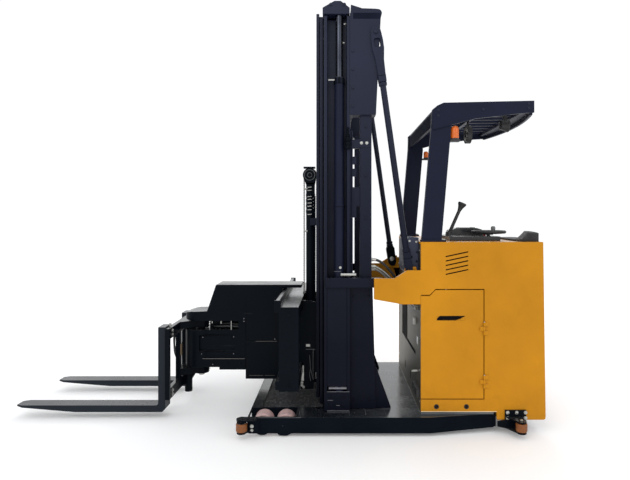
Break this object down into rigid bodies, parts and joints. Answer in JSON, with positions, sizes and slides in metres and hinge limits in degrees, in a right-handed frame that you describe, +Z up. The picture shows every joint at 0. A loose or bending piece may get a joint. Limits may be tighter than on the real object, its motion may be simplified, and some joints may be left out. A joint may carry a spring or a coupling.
{
  "type": "very narrow aisle reach truck",
  "caption": "Stand-on reach truck with a triplex mast, a traversing swivel fork head, tandem load wheels, guide rollers and an overhead guard.",
  "frame": {"origin": "middle of the truck's box on the floor", "axes": "+X from the fork tips towards the operator, +Y to the truck's right side, +Z up"},
  "size_m": [3.864, 1.5052, 3.038],
  "materials": {
    "deck_grey": "satin grey paint",
    "battery_dark": "matt grey paint",
    "body_orange": "satin orange paint",
    "front_steel": "brushed sheet",
    "head_black": "satin blue-black paint",
    "mast_navy": "satin navy paint",
    "guard_navy": "satin navy paint",
    "cylinder_black": "satin black paint",
    "rod_chrome": "polished hard chrome",
    "tread_beige": "cast polyurethane",
    "roller_orange": "cast polyurethane",
    "trim_black": "grained black plastic",
    "hose_black": "smooth hydraulic hose",
    "mat_rubber": "ribbed mat",
    "cover_grey": "satin dark grey paint",
    "fork_steel": "worn black paint",
    "lamp_amber": "amber lens",
    "lamp_dark": "satin black housing"
  },
  "bodies": {
    "chassis": {"base_frame": "deck_grey", "battery": "battery_dark", "body_front": "front_steel", "body_shell": "body_orange", "body_side_left": "body_orange", "body_side_right": "body_orange", "console": "trim_black", "guide_bracket_left": "cylinder_black", "guide_bracket_right": "cylinder_black", "guard_fan": "trim_black", "guard_roof": "guard_navy", "guard_side_left": "guard_navy", "guard_side_right": "guard_navy", "indicator_left": "lamp_amber", "indicator_right": "lamp_amber", "lift_barrel_left": "cylinder_black", "lift_barrel_right": "cylinder_black", "mast_hose_inner": "hose_black", "mast_hose_outer": "hose_black", "mast_outer": "mast_navy", "operator_floor": "mat_rubber", "pump_cover": "cover_grey", "rear_pad": "trim_black", "stay_left": "mast_navy", "stay_right": "mast_navy", "work_lamp": "lamp_dark"},
    "mast_middle": {"mast_middle": "mast_navy", "lift_rod_left": "rod_chrome", "lift_rod_right": "rod_chrome"},
    "mast_inner": {"mast_inner": "mast_navy", "free_lift_barrel": "cylinder_black"},
    "free_lift": {"free_lift_head": "rod_chrome"},
    "carriage": {"carriage": "head_black", "chain_front": "cylinder_black"},
    "head": {"head_box": "head_black", "head_hood": "head_black", "head_arm": "head_black"},
    "fork_carrier": {"fork_carrier": "head_black", "fork_left": "fork_steel", "fork_right": "fork_steel"},
    "drive_turret": {"drive_turret": "cylinder_black"},
    "drive_wheel": {"drive_wheel": "tread_beige"},
    "caster_fork": {"caster_fork": "cylinder_black"},
    "caster_wheel": {"caster_wheel": "tread_beige"},
    "steering_wheel": {"steering_wheel": "trim_black"},
    "battery_door_left": {"battery_door_left": "body_orange"},
    "battery_door_right": {"battery_door_right": "body_orange"},
    "guide_roller_front_left": {"guide_roller_front_left": "roller_orange"},
    "guide_roller_front_right": {"guide_roller_front_right": "roller_orange"},
    "guide_roller_rear_left": {"guide_roller_rear_left": "roller_orange"},
    "guide_roller_rear_right": {"guide_roller_rear_right": "roller_orange"},
    "load_wheel_front_left": {"load_wheel_front_left": "tread_beige"},
    "load_wheel_front_right": {"load_wheel_front_right": "tread_beige"},
    "load_wheel_rear_left": {"load_wheel_rear_left": "tread_beige"},
    "load_wheel_rear_right": {"load_wheel_rear_right": "tread_beige"}
  },
  "joints": [
    {"name": "mast_middle_lift", "type": "slide", "parent": "chassis", "child": "mast_middle", "axis": [0, 0, 1], "range_m": [0, 2]},
    {"name": "mast_inner_lift", "type": "slide", "parent": "mast_middle", "child": "mast_inner", "axis": [0, 0, 1], "range_m": [0, 2]},
    {"name": "carriage_lift", "type": "slide", "parent": "mast_inner", "child": "carriage", "axis": [0, 0, 1], "range_m": [0, 1.4], "deforming": ["chain_front"]},
    {"name": "free_lift_rise", "type": "slide", "parent": "mast_inner", "child": "free_lift", "axis": [0, 0, 1], "range_m": [0, 0.7]},
    {"name": "head_shift", "type": "slide", "parent": "carriage", "child": "head", "axis": [0, 1, 0], "range_m": [-0.45, 0.45]},
    {"name": "fork_swing", "type": "hinge", "parent": "head", "child": "fork_carrier", "pos_m": [-0.628, 0, 0.4], "axis": [0, 0, 1], "range_deg": [-90, 90]},
    {"name": "drive_steer", "type": "hinge", "parent": "chassis", "child": "drive_turret", "pos_m": [1.722, -0.3, 0.2], "axis": [0, 0, 1], "range_deg": [-90, 90]},
    {"name": "drive_roll", "type": "hinge", "parent": "drive_turret", "child": "drive_wheel", "pos_m": [1.722, -0.3, 0.125], "axis": [0, 1, 0], "continuous": true},
    {"name": "caster_swivel", "type": "hinge", "parent": "chassis", "child": "caster_fork", "pos_m": [1.682, 0.3, 0.2], "axis": [0, 0, 1], "continuous": true},
    {"name": "caster_roll", "type": "hinge", "parent": "caster_fork", "child": "caster_wheel", "pos_m": [1.717, 0.3, 0.075], "axis": [0, 1, 0], "continuous": true},
    {"name": "steering_wheel_turn", "type": "hinge", "parent": "chassis", "child": "steering_wheel", "pos_m": [1.627, -0.3, 1.395], "axis": [0, 0, 1], "continuous": true},
    {"name": "battery_door_left_swing", "type": "hinge", "parent": "chassis", "child": "battery_door_left", "pos_m": [1.501, -0.6335, 0.6], "axis": [0, 0, 1], "range_deg": [0, 110]},
    {"name": "battery_door_right_swing", "type": "hinge", "parent": "chassis", "child": "battery_door_right", "pos_m": [1.501, 0.6335, 0.6], "axis": [0, 0, -1], "range_deg": [0, 110]},
    {"name": "guide_front_left_turn", "type": "hinge", "parent": "chassis", "child": "guide_roller_front_left", "pos_m": [-0.173, -0.715, 0.079], "axis": [0, 0, 1], "continuous": true},
    {"name": "guide_rear_left_turn", "type": "hinge", "parent": "chassis", "child": "guide_roller_rear_left", "pos_m": [1.73, -0.715, 0.079], "axis": [0, 0, 1], "continuous": true},
    {"name": "load_front_left_roll", "type": "hinge", "parent": "chassis", "child": "load_wheel_front_left", "pos_m": [-0.038, -0.58, 0.068], "axis": [0, 1, 0], "continuous": true},
    {"name": "load_rear_left_roll", "type": "hinge", "parent": "chassis", "child": "load_wheel_rear_left", "pos_m": [0.117, -0.58, 0.068], "axis": [0, 1, 0], "continuous": true},
    {"name": "guide_front_right_turn", "type": "hinge", "parent": "chassis", "child": "guide_roller_front_right", "pos_m": [-0.173, 0.715, 0.079], "axis": [0, 0, 1], "continuous": true},
    {"name": "guide_rear_right_turn", "type": "hinge", "parent": "chassis", "child": "guide_roller_rear_right", "pos_m": [1.73, 0.715, 0.079], "axis": [0, 0, 1], "continuous": true},
    {"name": "load_front_right_roll", "type": "hinge", "parent": "chassis", "child": "load_wheel_front_right", "pos_m": [-0.038, 0.58, 0.068], "axis": [0, 1, 0], "continuous": true},
    {"name": "load_rear_right_roll", "type": "hinge", "parent": "chassis", "child": "load_wheel_rear_right", "pos_m": [0.117, 0.58, 0.068], "axis": [0, 1, 0], "continuous": true}
  ],
  "couplings": [
    {"joint": "mast_inner_lift", "follows": "mast_middle_lift", "ratio": 1},
    {"joint": "free_lift_rise", "follows": "carriage_lift", "ratio": 0.5}
  ]
}
